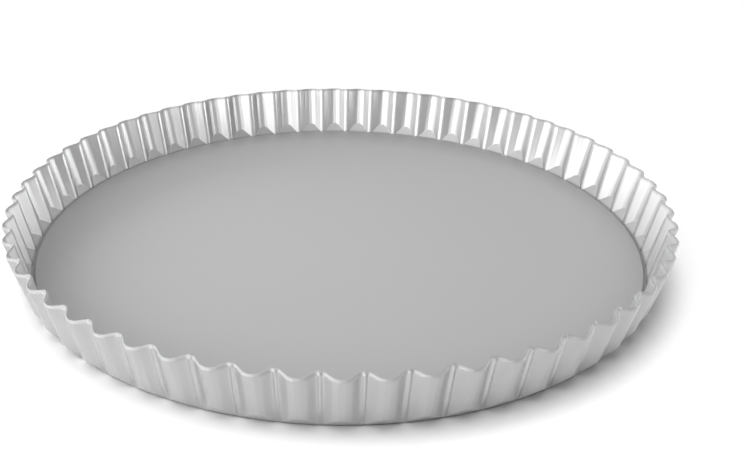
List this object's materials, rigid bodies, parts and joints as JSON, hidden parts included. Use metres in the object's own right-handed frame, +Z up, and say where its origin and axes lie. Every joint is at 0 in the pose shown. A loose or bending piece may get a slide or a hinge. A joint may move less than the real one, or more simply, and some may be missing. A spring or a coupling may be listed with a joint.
{
  "type": "tart pan with removable bottom",
  "caption": "Round shallow tart pan: a fluted metal ring with a narrow inward flange, and a flat loose base that rests on the flange and lifts straight out.",
  "frame": {"origin": "on the pan's round axis, on the surface that the pan stands on", "axes": "+Z up along the round axis, the way the base lifts out; +X through the middle of one flute"},
  "size_m": [0.2994, 0.299, 0.0261],
  "materials": {
    "ring_metal": "satin silver, drawn and fluted sheet with faint upright drawing lines",
    "base_metal": "fine matte silver, flat rolled sheet"
  },
  "bodies": {
    "ring": {"fluted_ring": "ring_metal"},
    "base": {"loose_base": "base_metal"}
  },
  "joints": [
    {"name": "base_lift", "type": "slide", "parent": "ring", "child": "base", "axis": [0, 0, 1], "range_m": [0, 0.045]}
  ]
}
